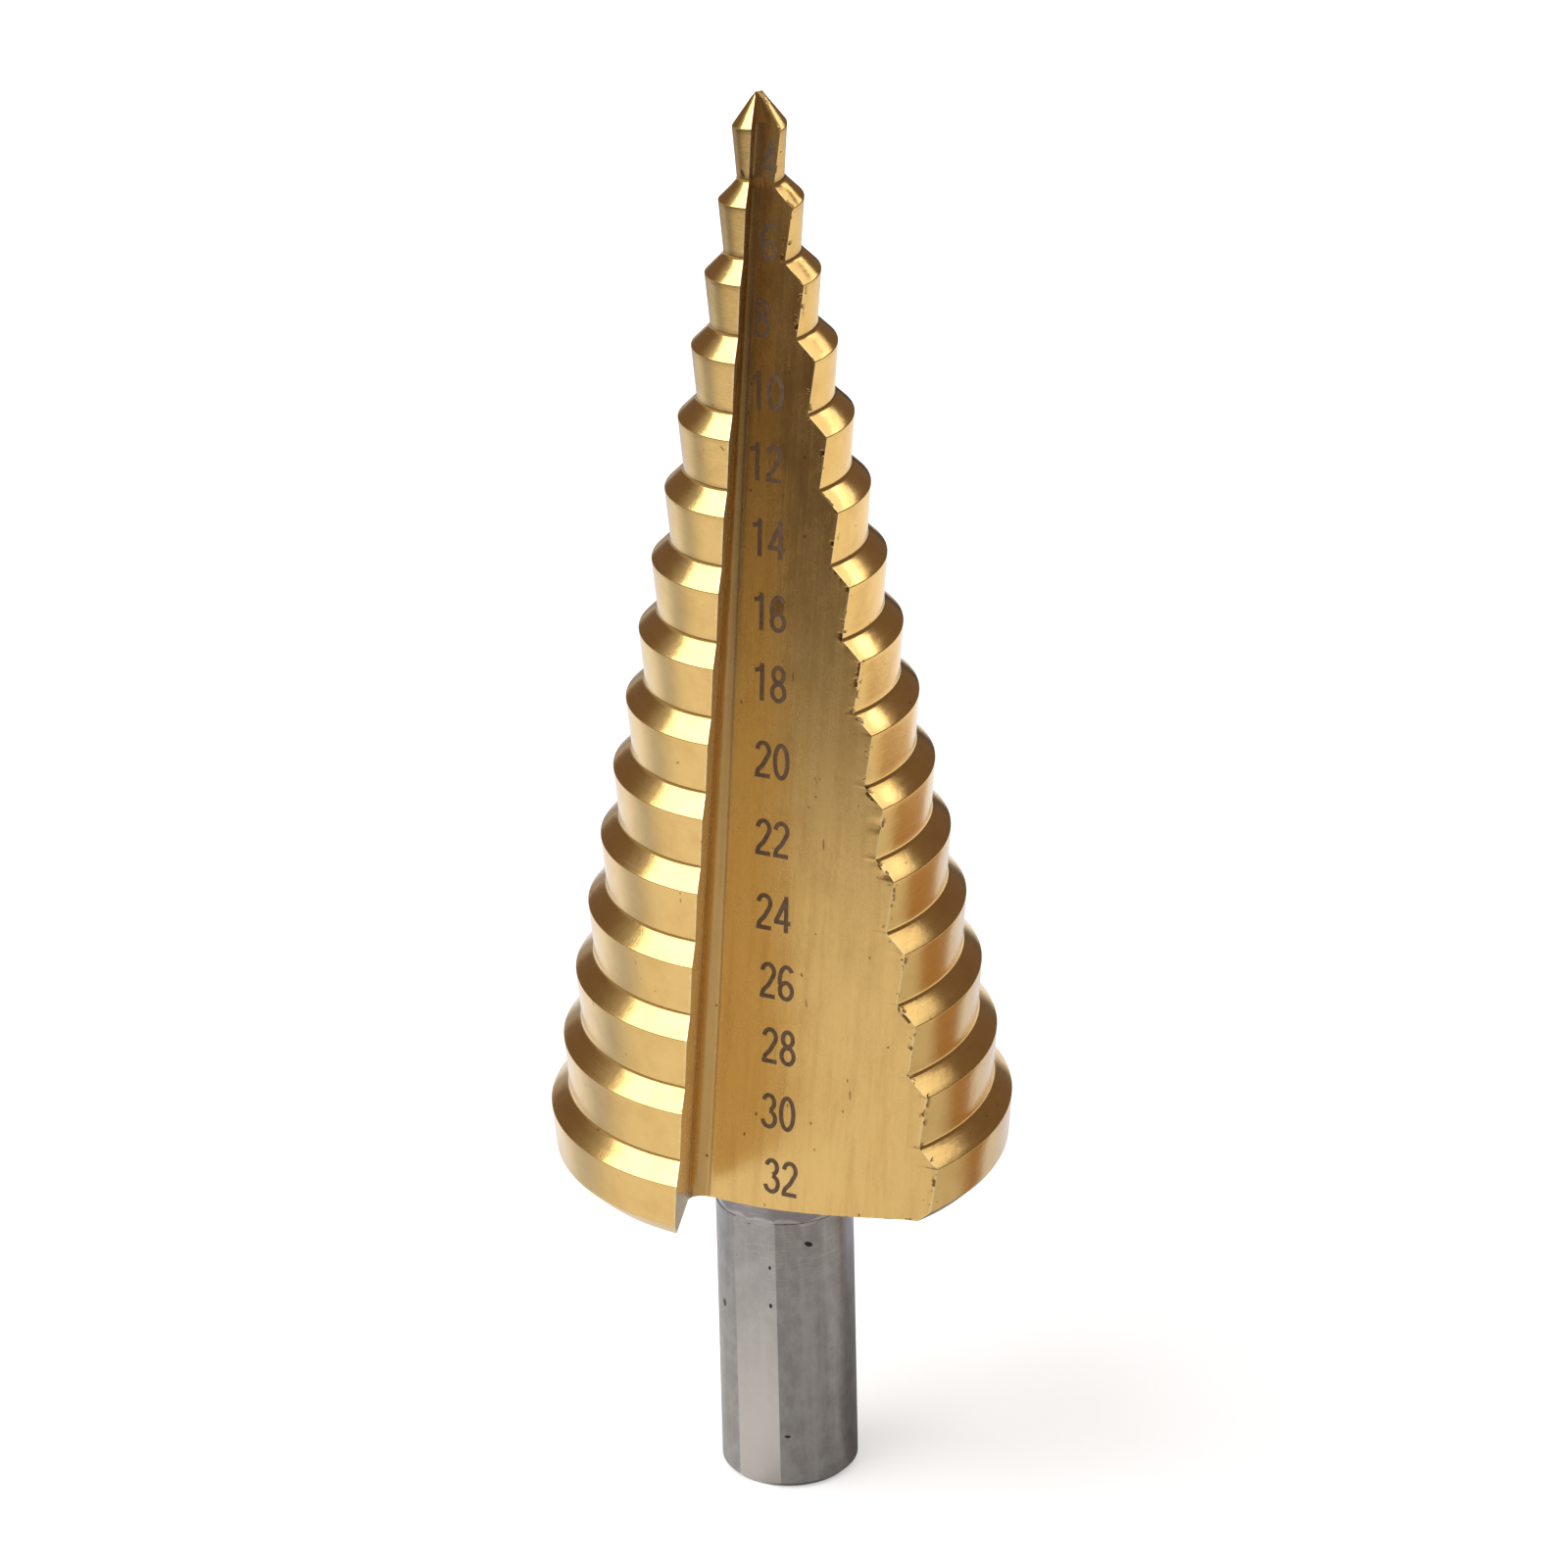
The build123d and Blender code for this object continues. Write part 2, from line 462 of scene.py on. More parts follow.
# pale lines at the heel and the cutting edge: partly burrs, partly painted highlight
burr_and_edge_glint = wheel.step(from_heel, 0.13, 0.07) * 0.4 + wheel.step(from_cut, 0.12, 0.06) * 0.6
scuffs = wheel.dots([(0.95, 66.7, 0.42, 0.6, 0.0), (2.6, 39.0, 0.06, 0.3, 0.1), (5.6, 33.0, 0.07, 0.35, 0.0),
                     (3.9, 50.6, 0.07, 0.4, 0.0), (1.9, 62.0, 0.06, 0.3, 0.0)],
                    wheel.x + (wheel.y > 0.0) * OTHER_SIDE, wheel.z)
wheel.tint((0.785, 0.525, 0.195), [
    ((0.64, 0.39, 0.13), wheel.step(streaks, 0.42, 0.72) * 0.5),
    ((0.84, 0.60, 0.27), wheel.step(lines, 0.54, 0.74) * 0.45),
    ((0.50, 0.31, 0.12), painted_root_shade * (1.0 - rake) * 0.65),
    ((0.93, 0.78, 0.52), rake * 0.8),
    ((0.34, 0.21, 0.10), painted_crease_shade * 0.6),
    ((0.92, 0.76, 0.45), burr_and_edge_glint.least(1.0)),
    ((0.10, 0.05, 0.02), (specks * 0.7).most(chipped * 0.85).most(scuffs * 0.55)),
])
flute_gold = wheel.worked(cloud * 0.16 + lines * 0.12 + fine * 0.08 + 0.08,
                          lines * 0.0034 + fine * 0.0042 + streaks * 0.005 - chipped * 0.02,
                          lines_go_round=False)

# %% [markdown]
# ### Steel on the shank
# The shank is left bare. It is darker where it is round, with clouds and fine scratches from the chuck, and
# brighter on its flat, which is ground last. Both tones are partly painted reflections of the room, and the flat's
# lightness fades upwards as painted shade under the head.

# %% Clouds, scratches and flat of the shank
bare = Finish("ground_steel", Metallic=1.0, Anisotropic=0.6)
rings = bare.noise(bare.turn * 1.0, bare.z * 5.0, bare.reach * 5.0, 3.0, 0.6)
cloud = bare.noise(bare.x * 0.5, bare.y * 0.5, bare.z * 0.40, 5.0, 0.65)
blotch = bare.noise(bare.x * 0.9 + 7.0, bare.y * 0.9, bare.z * 0.7, 5.0, 0.7)
streaks = bare.noise(bare.turn * 3.2, 3.0, bare.z * 0.05, 3.0, 0.6)
grain = bare.even(8.0)
ticks = bare.step(bare.noise(bare.x * 1.6, bare.y * 1.6, bare.z * 2.6, 1.0), 0.785, 0.81)
hairs = bare.noise(bare.x * 0.7, bare.y * 0.7, bare.z * 9.0, 2.0, 0.5, 0.6)
scratch = bare.step(hairs, 0.60, 0.68) * bare.step(bare.z, 14.0, 19.0)
flat_side = radians(shank_sizes["Flat side"])
flat_stand = shank_sizes["Radius"] - shank_sizes["Flat depth"]
facing = bare.x * sin(flat_side) - bare.y * cos(flat_side)
on_flat = bare.step(facing, flat_stand - 0.015, flat_stand - 0.002) * bare.step(bare.z, 21.2, 21.1)
print("the flat stands", round(flat_stand, 2), "mm off the axis")

# %% [markdown]
# A purple-grey band under the head shows where heat and the coat reached, and its dark is partly painted shadow
# under the head; it ends in a pale wavy line. All of it is colour and roughness, so one material does it.

# %% Band, stains and colour of the shank
wave = bare.noise(bare.x * 0.6, bare.y * 0.6, 0.0, 2.0)
level = bare.z + (wave - 0.5) * 1.3
# band under the head: heat stain, and partly painted shadow of the head above it
heat_stain_and_shadow_band = bare.step(level, 20.9, 21.1)
lip = heat_stain_and_shadow_band * bare.step(level, 21.35, 21.15)
dark = bare.dots([(2.2, 19.3, 0.26, 0.22, 0.6), (-0.58, 17.5, 0.10, 0.16, 0.0), (-0.58, 14.5, 0.12, 0.18, 0.0),
                  (-4.8, 13.5, 0.22, 0.3, 0.0), (0.42, 4.2, 0.22, 0.10, 0.0)],
                 bare.turn * shank_sizes["Radius"], bare.z)
# darker base of the round part: bare steel, and partly painted shade for the dim room it reflects
bare.tint((0.42, 0.41, 0.40), [
    ((0.31, 0.30, 0.295), bare.step(blotch, 0.35, 0.62) * 0.75),
    ((0.50, 0.49, 0.48), bare.step(streaks, 0.5, 0.7) * 0.5),
    # the flat: lighter from fresh grinding and partly painted reflection, fading upwards as painted shade under
    # the head
    ((0.60, 0.57, 0.535), on_flat * (bare.step(bare.z, 19.5, 3.0) * 0.75 + 0.15)),
    # purple-grey: heat stain and painted shadow under the head
    ((0.31, 0.29, 0.31), heat_stain_and_shadow_band * 0.85),
    ((0.60, 0.58, 0.57), lip * 0.7),
    ((0.62, 0.60, 0.57), scratch * 0.4),
    ((0.04, 0.035, 0.035), (ticks * 0.85).most(dark)),
])
steel = bare.worked(cloud * 0.14 + rings * 0.10 + 0.20 + on_flat * 0.05,
                    rings * 0.0022 + grain * 0.0016 + blotch * 0.004 - scratch * 0.003, lines_go_round=True)

# %% [markdown]
# ### The laser mark
# A laser turns the coat dark brown without much gloss. A plain rough shader with a little uneven colour will do.

# %% The mark of the laser
burn = Finish("laser_mark", Metallic=0.0, Specular_IOR_Level=0.3)
shade = burn.even(3.0, 3.0)
burn.tint((0.175, 0.113, 0.068), [((0.24, 0.156, 0.095), burn.step(shade, 0.35, 0.7))])
ink = burn.worked(shade * 0.2 + 0.5, shade * 0.002, lines_go_round=True)

# %% [markdown]
# ## The head
# One side of the head is four patches: the rake face, the rounding at the root of the flute, the back wall,
# and the lands with their shoulders. Each patch is a grid. One way across the grid follows the profile of the
# steps, and the other way goes round the drill. The second side is the first turned by half a turn.

# %% The corners of the steps, as a zigzag
head = Maker("Stepped head", head_sizes)
size = head.size
taper = size("Back taper").radians().tan()
slope = size("Shoulder slope").radians().tan()
pitch = size("Step pitch")
top_radius = size("First diameter") / 2
top_corner = size("Last corner") + pitch * (STEPS - 1)
grow = size("Diameter step") / 2

# rise is the height of an inner corner, where a land meets the next shoulder, over the outer corner below it
rise = (grow * slope + pitch * taper * slope) / (slope * taper + 1)
index = head.value("GeometryNodeInputIndex")
place = index - 1
number = (place / 2).floor()
inner = place - number * 2
radius = top_radius + number * grow + inner * (grow - rise / slope)
height = top_corner - number * pitch - inner * (pitch - rise)
print("each of", STEPS, "steps has an outer and an inner corner")

# %% [markdown]
# Three corners don't follow that rule. The first lies near the axis, where the flutes end. The last two are the
# rim and a foot under it, which is trimmed later.

# %% The first and the last corners
FOOT = 4.6                        # the raw head runs on this far below its rim
rim_radius = top_radius + grow * (STEPS - 1) - size("Last land") * taper
rim_height = size("Last corner") - size("Last land")
point_height = top_corner + (top_radius - size("Web radius")) / size("Point half angle").radians().tan()
is_start, is_rim, is_end = index < 0.5, index > 2 * STEPS - 0.5, index > 2 * STEPS + 0.5
radius = head.pick(is_start, size("Web radius"), radius)
height = head.pick(is_start, point_height, height)
radius = head.pick(is_end, rim_radius - FOOT, head.pick(is_rim, rim_radius, radius))
height = head.pick(is_end, rim_height - FOOT, head.pick(is_rim, rim_height, height))
line = head.made("GeometryNodeMeshLine", {"Count": 2 * STEPS + 2})
line = head.made("GeometryNodeSetPosition", {"Geometry": line, "Position": head.vector(radius, 0.0, height)})
profile = head.made("GeometryNodeMeshToCurve", {"Mesh": line})
print("the profile has", 2 * STEPS + 2, "corners before rounding")

# %% [markdown]
# No corner of a ground tool is quite sharp, and inner ones copy the rounded rim of the wheel. The rounded
# profile then gets points at even distances, because each of its points becomes a row of the grids.

# %% Corners rounded, and the profile cut into stations
SPACING, MOST_CUTS = 0.4, 20.0    # millimetres between stations, and the most of them on one straight line
index = head.value("GeometryNodeInputIndex")
inner = (index / 2).maths("FRACT") < 0.25
rounding = head.pick(inner, size("Inner rounding"), size("Outer rounding"))
profile = head.made("GeometryNodeFilletCurve", {"Curve": profile, "Radius": rounding, "Count": 5,
                                                "Limit Radius": True}, mode="POLY")
place = head.made("GeometryNodeInputPosition")
after = head.made("GeometryNodeFieldAtIndex", {"Index": head.value("GeometryNodeInputIndex") + 1, "Value": place},
                  data_type="FLOAT_VECTOR", domain="POINT")
apart = head.value("ShaderNodeVectorMath", {0: place, 1: after}, output=1, operation="DISTANCE")
profile = head.made("GeometryNodeSubdivideCurve", {"Curve": profile,
                                                   "Cuts": (apart / SPACING).floor().least(MOST_CUTS)})
stations = head.value("GeometryNodeAttributeDomainSize", {"Geometry": profile}, component="CURVE")
print("stations stand at most", SPACING, "mm apart")


# %% [markdown]
# ### One patch
# A patch could be lofted or swept with a modifier, but the drill is not round: its lands close in behind the
# cutting edge. A grid whose points are placed by a sum can follow that exactly, and neighbouring patches meet
# without a gap because they use the same sums on their common edge.

# %% A patch: a grid whose rows follow the profile
def patch(columns, shape, flute, start, end, sign):
    """Makes one patch; shape gives x, y, z from the share across the patch and the profile's r and z.

    The row above the profile lies on the chisel edge, from share start to share end of the way along it.
    """
    grid = head.made("GeometryNodeMeshGrid", {"Size X": 1.0, "Size Y": stations, "Vertices X": columns + 1,
                                              "Vertices Y": stations + 1})
    x, y, _ = head.parts(head.made("GeometryNodeInputPosition"))
    across = x + 0.5
    row = (y + stations / 2).maths("ROUND")
    r, z = head.corner(profile, (row - 1).most(0.0))
    along = (blend(start, end, across) * pi).cos() * sign * size("Chisel half length")
    turn = size("Chisel turn").radians()
    chisel = (along * turn.sin(), -(along * turn.cos()), size("Point top"))
    top = row < 0.5
    *spot, from_cut, from_heel = shape(across, r, z)
    spot = head.vector(*[head.pick(top, c, p) for c, p in zip(chisel, spot)])
    # distances are kept before the grid moves, because a distance is found from the same share and row
    for name, number, domain in (("from_cut", from_cut, "POINT"), ("from_heel", from_heel, "POINT"),
                                 ("flute", flute, "FACE")):
        grid = head.made("GeometryNodeStoreNamedAttribute", {"Geometry": grid, "Name": name, "Value": number},
                         data_type="FLOAT", domain=domain)
    return head.made("GeometryNodeSetPosition", {"Geometry": grid, "Position": spot})


print("a patch keeps from_cut, from_heel and flute for the materials")


# %% [markdown]
# ### Flutes as sums
# The root of each flute is a straight line that nears the axis towards the tip. It could be cut with a solid, as
# a wheel does, but sums give clean rows of faces and a soft rounding in the root.

# %% Where a flute runs
def at_height(tip, base, z):
    """A size of the flute at height z, from its values at the tip and at the base."""
    low, high = size("Flute base height"), size("Flute tip height")
    return blend(size(base), size(tip), (z - low) / (high - low))


opening = size("Flute angle").radians()


def root_line(z):
    """Where rake face and back wall would meet without their rounding."""
    rake, wall = at_height("Rake at tip", "Rake at base", z), at_height("Wall at tip", "Wall at base", z)
    return -rake, (rake * opening.cos() - wall) / opening.sin()


def rounding_at(r, z):
    return at_height("Flute rounding at tip", "Flute rounding at base", z).least(r * 0.35)


def cutting_turn(r, z):
    """Angle of the cutting edge from the front, negative towards the left."""
    return -(at_height("Rake at tip", "Rake at base", z) / r).asin()


print("a flute runs from", head_sizes["Flute base height"], "to", head_sizes["Flute tip height"], "mm")


# %% [markdown]
# ### Relief as sums
# Behind the cutting edge the land closes in and its shoulder drops, so that only the edge touches the sheet.
# Both amounts grow evenly with the angle behind the edge. The heel gets small nicks, as on the used drill.

# %% Where a land runs
NICKED_BELOW, FAR = 93.0, 99.0    # height above which a heel has no nicks; a distance that doesn't matter


def eased(r):
    """Relief fades out over the small cone of the point."""
    return (r / top_radius).least(1.0)


def span(r, z):
    """How far the land reaches back to the plane of the back wall, found by two rounds of the same sum."""
    turn = pi - opening + cutting_turn(r, z)
    reach = turn
    for _ in range(2):
        back_z = z - size("Relief downwards") * eased(r) * reach
        back_r = r - size("Relief inwards") * eased(r) * reach
        reach = turn + (at_height("Wall at tip", "Wall at base", back_z) / back_r).asin()
    return reach


def nicks(z):
    """How far small nicks and burrs shift the heel, in millimetres."""
    def rough(pace, seed):
        return head.value("ShaderNodeTexNoise", {"Vector": head.vector(0.0, seed, z * pace), "Scale": 1.0,
                                                 "Detail": 1.0})
    worn = (rough(1.1, size("Seed")) - 0.64).most(0.0) * size("Nick depth") + (rough(2.6, 9.0) - 0.5) * 0.10
    return worn * (z < NICKED_BELOW)


def on_land(r, z, behind):
    """The point of the relieved land that lies behind the cutting edge by an angle."""
    turn = cutting_turn(r, z) - behind
    r2 = r - size("Relief inwards") * eased(r) * behind
    z2 = z - size("Relief downwards") * eased(r) * behind
    return r2 * turn.sin(), -(r2 * turn.cos()), z2


print("a quarter turn behind the edge a land has closed in by",
      round(head_sizes["Relief inwards"] * pi / 2, 2), "mm")


# %% [markdown]
# ### The four surfaces
# Each function gives one point from its share across the patch and the profile's radius and height, and then
# how far the point is from the cutting edge and from the heel.

# %% Land, rake face, back wall and root
bottom = rim_height - FOOT


def land(across, r, z):
    reach = span(r, z) - nicks(z) / r
    x, y, z2 = on_land(r, z, reach * across)
    return x, y, z2.most(bottom), reach * across * r, reach * (1 - across) * r


def rake_face(across, r, z):
    x, y = root_line(z)
    start = y - rounding_at(r, z) / (opening / 2).tan()
    outer = -(r * r - x * x).root()
    return x, blend(start, outer, across), z, (start - outer) * (1 - across), FAR


def back_wall(across, r, z):
    x, y = root_line(z)
    run = rounding_at(r, z) / (opening / 2).tan()
    x1, y1 = x + run * opening.sin(), y - run * opening.cos()
    hx, hy, hz = on_land(r, z, span(r, z) - (across < 0.01) * nicks(z) / r)
    width = ((hx + x1) * (hx + x1) + (hy + y1) * (hy + y1)).root()
    return (blend(-hx, x1, across), blend(-hy, y1, across), blend(hz.most(bottom), z, across),
            FAR, width * across)


def root_rounding(across, r, z):
    x, y = root_line(z)
    arc = rounding_at(r, z)
    reach = arc / (opening / 2).sin()
    cx, cy = x + reach * (opening / 2).sin(), y - reach * (opening / 2).cos()
    turn = blend(opening, pi, across)
    return cx + arc * turn.cos(), cy + arc * turn.sin(), z, FAR, FAR


# the order round the drill, with the columns of each patch, whether it is flute, and its way along the chisel edge
surfaces = ((56, land, 0.0, 1), (18, back_wall, 1.0, -1), (8, root_rounding, 1.0, -1), (10, rake_face, 1.0, -1))
around = sum(count for count, *_ in surfaces)
print(around, "faces round each side:", ", ".join(f"{shape.__name__} {count}" for count, shape, *_ in surfaces))

# %% [markdown]
# ### Two sides make a head
# The four patches of one side are joined, and the same again after half a turn gives the other side. Points on
# common edges are merged, which leaves one open ring at the foot, and a face fills that.

# %% Both sides, closed at the point and at the foot
patches, done = [], 0
for count, shape, flute, sign in surfaces:
    patches.append(patch(count, shape, flute, done / around, (done + count) / around, sign))
    done += count
side = head.join(*patches)
other = head.made("GeometryNodeTransform", {"Geometry": side, "Rotation": (0.0, 0.0, pi)})
tube = head.weld(head.join(side, other))
open_edge = head.value("GeometryNodeInputMeshEdgeNeighbors") < 1.5
rim = head.made("GeometryNodeMeshToCurve", {"Mesh": tube, "Selection": open_edge})
foot = head.made("GeometryNodeFillCurve", {"Curve": rim}, mode="NGONS")
foot = head.made("GeometryNodeTransform", {"Geometry": foot, "Translation": head.vector(0.0, 0.0, bottom)})
foot = head.made("GeometryNodeFlipFaces", {"Mesh": foot})
tube = head.weld(head.join(tube, foot))
print("the head's tree has", len(head.tree.nodes), "nodes so far")


# %% [markdown]
# ### A turned body
# The underside of the head is a shallow cone with a rounded neck, and the shank is round too. A lathe would turn
# both from an outline, and so does this helper, which serves any tree.

# %% A turned body from an outline
def turned(maker, outline, rounding, columns=144):
    """Turns the outline, a list of (r, z), about the axis; rounding is a list of radii, one for each corner."""
    index = maker.value("GeometryNodeInputIndex")
    r, z, round_by = 0.0, 0.0, 0.0
    for i, ((r_i, z_i), round_i) in enumerate(zip(outline, rounding)):
        here = (index > i - 0.5) * (index < i + 0.5)
        r, z, round_by = here * r_i + r, here * z_i + z, here * round_i + round_by
    line = maker.made("GeometryNodeMeshLine", {"Count": len(outline)})
    line = maker.made("GeometryNodeSetPosition", {"Geometry": line, "Position": maker.vector(r, 0.0, z)})
    curve = maker.made("GeometryNodeMeshToCurve", {"Mesh": line})
    curve = maker.made("GeometryNodeFilletCurve", {"Curve": curve, "Radius": round_by, "Count": 8,
                                                   "Limit Radius": True}, mode="POLY")
    rows = maker.value("GeometryNodeAttributeDomainSize", {"Geometry": curve}, component="CURVE")
    grid = maker.made("GeometryNodeMeshGrid", {"Size X": 1.0, "Size Y": rows - 1, "Vertices X": columns + 1,
                                               "Vertices Y": rows})
    x, y, _ = maker.parts(maker.made("GeometryNodeInputPosition"))
    r, z = maker.corner(curve, (y + (rows - 1) / 2).maths("ROUND"))
    turn = x * (2 * pi)
    spot = maker.vector(r * turn.cos(), r * turn.sin(), z)
    body = maker.made("GeometryNodeSetPosition", {"Geometry": grid, "Position": spot})
    print("turned an outline of", len(outline), "corners")
    return maker.weld(body, 0.001)


# %% [markdown]
# ### Trimming the foot
# The outline of the turned body is the underside with its rounded neck, and everything above is left wide. An
# intersection keeps what is inside both, so the flutes end in sharp lips at the underside, as ground ones do.

# %% Head trimmed underneath
def carved(maker, operation, body, tool):
    """Cuts one closed shape with another; only a difference has a socket of its own for the body."""
    cut = maker.node("GeometryNodeMeshBoolean", operation=operation, solver="MANIFOLD")
    slots = [slot for slot in cut.inputs if slot.name.startswith("Mesh") and slot.enabled]
    maker.tree.links.new(body, slots[0 if operation == "DIFFERENCE" else -1])
    maker.tree.links.new(tool, slots[-1])
    return cut.outputs[0]


WIDE, HIGH = 20.0, 120.0          # beyond the head on all sides, in millimetres
under_r, under_z = size("Underside radius"), size("Flute base height")
neck_r = size("Neck radius")
neck_z = under_z - (under_r - neck_r) * size("Underside slope").radians().tan()
outline = [(0.0, SEAM), (neck_r, SEAM), (neck_r, neck_z), (under_r, under_z), (WIDE, under_z), (WIDE, HIGH),
           (0.0, HIGH)]
trim = turned(head, outline, [0.0, 0.0, size("Neck rounding"), 0.0, 0.0, 0.0, 0.0])
ended(head, carved(head, "INTERSECT", tube, trim), lands_gold, flute_gold)
stepped_head = grown("stepped_head", head, head_sizes)

# %% [markdown]
# ### The shank
# The shank is a plain round bar with a small chamfer, ground a little thinner under the head, with one flat for
# the chuck. Turning an outline and cutting a block away is how it is made in the workshop too.

# %% The shank
BLOCK = 4.0                       # depth of the block that cuts the flat, which starts 2 mm below the shank
shank = Maker("Round shank", shank_sizes)
size = shank.size
outline = [(0.0, 0.0), (size("Radius") - size("Chamfer"), 0.0), (size("Radius"), size("Chamfer")),
           (size("Radius"), size("Band height")), (size("Band radius"), size("Band height")),
           (size("Band radius"), size("Top")), (0.0, size("Top"))]
body = turned(shank, outline, [0.0, 0.05, 0.05, 0.02, 0.02, 0.0, 0.0])
block = shank.made("GeometryNodeMeshCube", {"Size": shank.vector(12.0, BLOCK, size("Flat top") + 2.0)})
middle = shank.vector(0.0, size("Flat depth") - size("Radius") - BLOCK / 2, size("Flat top") / 2 - 1.0)
block = shank.made("GeometryNodeTransform", {"Geometry": block, "Translation": middle})
aside = shank.vector(0.0, 0.0, size("Flat side").radians())
block = shank.made("GeometryNodeTransform", {"Geometry": block, "Rotation": aside})
ended(shank, carved(shank, "DIFFERENCE", body, block), steel)
round_shank = grown("round_shank", shank, shank_sizes)

# %% [markdown]
# ## The numbers
# Beside each step its diameter is marked on the back wall of the flute, with a laser. The figures are drawn as
# strokes, the way a marking machine is programmed, and laid on the wall as a skin thinner than a hair.

# %% Figures as strokes in a box one unit high
def arc(cx, cy, rx, ry, start, end, count=14):
    """Points of an ellipse from one angle to another, in degrees."""
    turns = [radians(start + (end - start) * i / count) for i in range(count + 1)]
    return [(cx + rx * cos(t), cy + ry * sin(t)) for t in turns]


def ring(cx, cy, rx, ry):
    return arc(cx, cy, rx, ry, 0, 360, 28)[:-1] + ["closed"]


figures = {
    "0": [ring(0.23, 0.5, 0.175, 0.44)],
    "1": [[(0.27, 0.0), (0.27, 1.0)], [(0.30, 0.95), (0.20, 0.83), (0.07, 0.80)]],
    "2": [arc(0.225, 0.73, 0.165, 0.21, 175, -30, 12) + [(0.23, 0.36), (0.09, 0.2), (0.055, 0.06)],
          [(0.0, 0.055), (0.42, 0.055)]],
    "3": [arc(0.21, 0.74, 0.15, 0.20, 165, -80, 14), arc(0.21, 0.28, 0.18, 0.225, 85, -170, 14)],
    "4": [[(0.335, 0.0), (0.335, 1.0)], [(0.335, 0.93), (0.045, 0.27)], [(0.0, 0.27), (0.46, 0.27)]],
    "6": [ring(0.23, 0.28, 0.17, 0.225),
          arc(0.235, 0.56, 0.18, 0.38, 200, 95, 12) + arc(0.235, 0.76, 0.15, 0.18, 85, 15, 6)],
    "8": [ring(0.225, 0.745, 0.14, 0.20), ring(0.225, 0.28, 0.17, 0.225)],
}
print("figures drawn:", " ".join(figures))


# %% [markdown]
# ### Strokes with a width
# A stroke could be a curve with a bevel, which would be round like wire. A flat strip with square sides lies in
# the surface like a mark, and as a closed shell it has no open edges.

# %% A stroke becomes a thin closed strip
FIGURE_HEIGHT = 2.62              # millimetres
FIGURE_WIDTH, STROKE = 0.50, 0.118      # in parts of the height
SKIN = 0.012                      # millimetres to either side of the wall


def strip(mesh, stroke, origin):
    """Adds one stroke of even width to a bmesh, flat on x and y, with its thickness along z."""
    closed = stroke[-1] == "closed"
    points = [Vector(q) for q in (stroke[:-1] if closed else stroke)]
    count, rows = len(points), []
    for i, here in enumerate(points):
        before = points[i - 1] if closed or i else here
        after = points[(i + 1) % count] if closed or i < count - 1 else here
        a, b = (here - before).normalized(), (after - here).normalized()
        a, b = (a, b) if a.length and b.length else (a + b, a + b)
        along = (a + b).normalized()
        side = Vector((-along.y, along.x)) * (STROKE / 2 / max(0.5, along.dot(a)))
        rows.append([mesh.verts.new((*((q + origin) * FIGURE_HEIGHT), w))
                     for q, w in ((here + side, SKIN), (here - side, SKIN), (here - side, -SKIN),
                                  (here + side, -SKIN))])
    for i in range(count if closed else count - 1):
        low, high = rows[i], rows[(i + 1) % count]
        for j in range(4):
            mesh.faces.new((low[j], low[(j + 1) % 4], high[(j + 1) % 4], high[j]))
    if not closed:
        mesh.faces.new(rows[0][::-1])
        mesh.faces.new(rows[-1])


print("strokes are", round(STROKE * FIGURE_HEIGHT, 2), "mm wide on figures", FIGURE_HEIGHT, "mm high")

# %% [markdown]
# ### The plane of the wall
# The wall is a plane that leans back towards the axis, so a plain turn and shift of each number lays it down.

# %% Directions on the wall
angle = radians(head_sizes["Flute angle"])
wall_lean = (head_sizes["Wall at tip"] - head_sizes["Wall at base"]) / (
    head_sizes["Flute tip height"] - head_sizes["Flute base height"])
across_wall = Vector((sin(angle), -cos(angle), 0))
off_wall = Vector((-cos(angle), -sin(angle), -wall_lean)).normalized()
up_wall = off_wall.cross(across_wall) * -1
if up_wall.z < 0:
    up_wall = -up_wall


def wall_point(x, z):
    """The point of the front flute's back wall at a given x and height."""
    stand = head_sizes["Wall at base"] + wall_lean * (z - head_sizes["Flute base height"])
    return Vector((x, -(stand + x * cos(angle)) / sin(angle), z))


print("the wall nears the axis by", round(-wall_lean, 4), "mm for each mm of height")

# %% [markdown]
# ### Numbers on the wall
# Strokes of one figure cross each other, so they go in separate layers, the first stroke of each figure in the
# first one and so on. Within a layer nothing touches.

# %% Numbers laid on the wall, in layers
import bmesh

# for each number, the x and the height of its middle, in millimetres
places = {4: (0.62, 96.9), 6: (0.60, 91.4), 8: (0.05, 86.2), 10: (0.3, 81.3), 12: (0.15, 76.5),
          14: (0.25, 71.3), 16: (0.3, 66.2), 18: (0.28, 61.3), 20: (0.4, 55.9), 22: (0.36, 50.4),
          24: (0.36, 45.1), 26: (0.56, 40.2), 28: (0.64, 35.5), 30: (0.54, 30.7), 32: (0.68, 25.95)}
layers = [bmesh.new() for _ in range(max(len(strokes) for strokes in figures.values()))]
for number, (x, z) in places.items():
    text = str(number)
    place = Matrix((across_wall, up_wall, off_wall)).transposed().to_4x4()
    place.translation = wall_point(x, z)
    for layer, mesh in enumerate(layers):
        known = len(mesh.verts)
        for position, figure in enumerate(text):
            if layer < len(figures[figure]):
                origin = Vector(((position - len(text) / 2) * FIGURE_WIDTH + 0.02, -0.5))
                strip(mesh, figures[figure][layer], origin)
        mesh.verts.ensure_lookup_table()
        bmesh.ops.transform(mesh, matrix=place, verts=mesh.verts[known:])
print("numbers from", min(places), "to", max(places), "in", len(layers), "layers")

# %% [markdown]
# A union then makes the layers one skin, with the mark's own material.

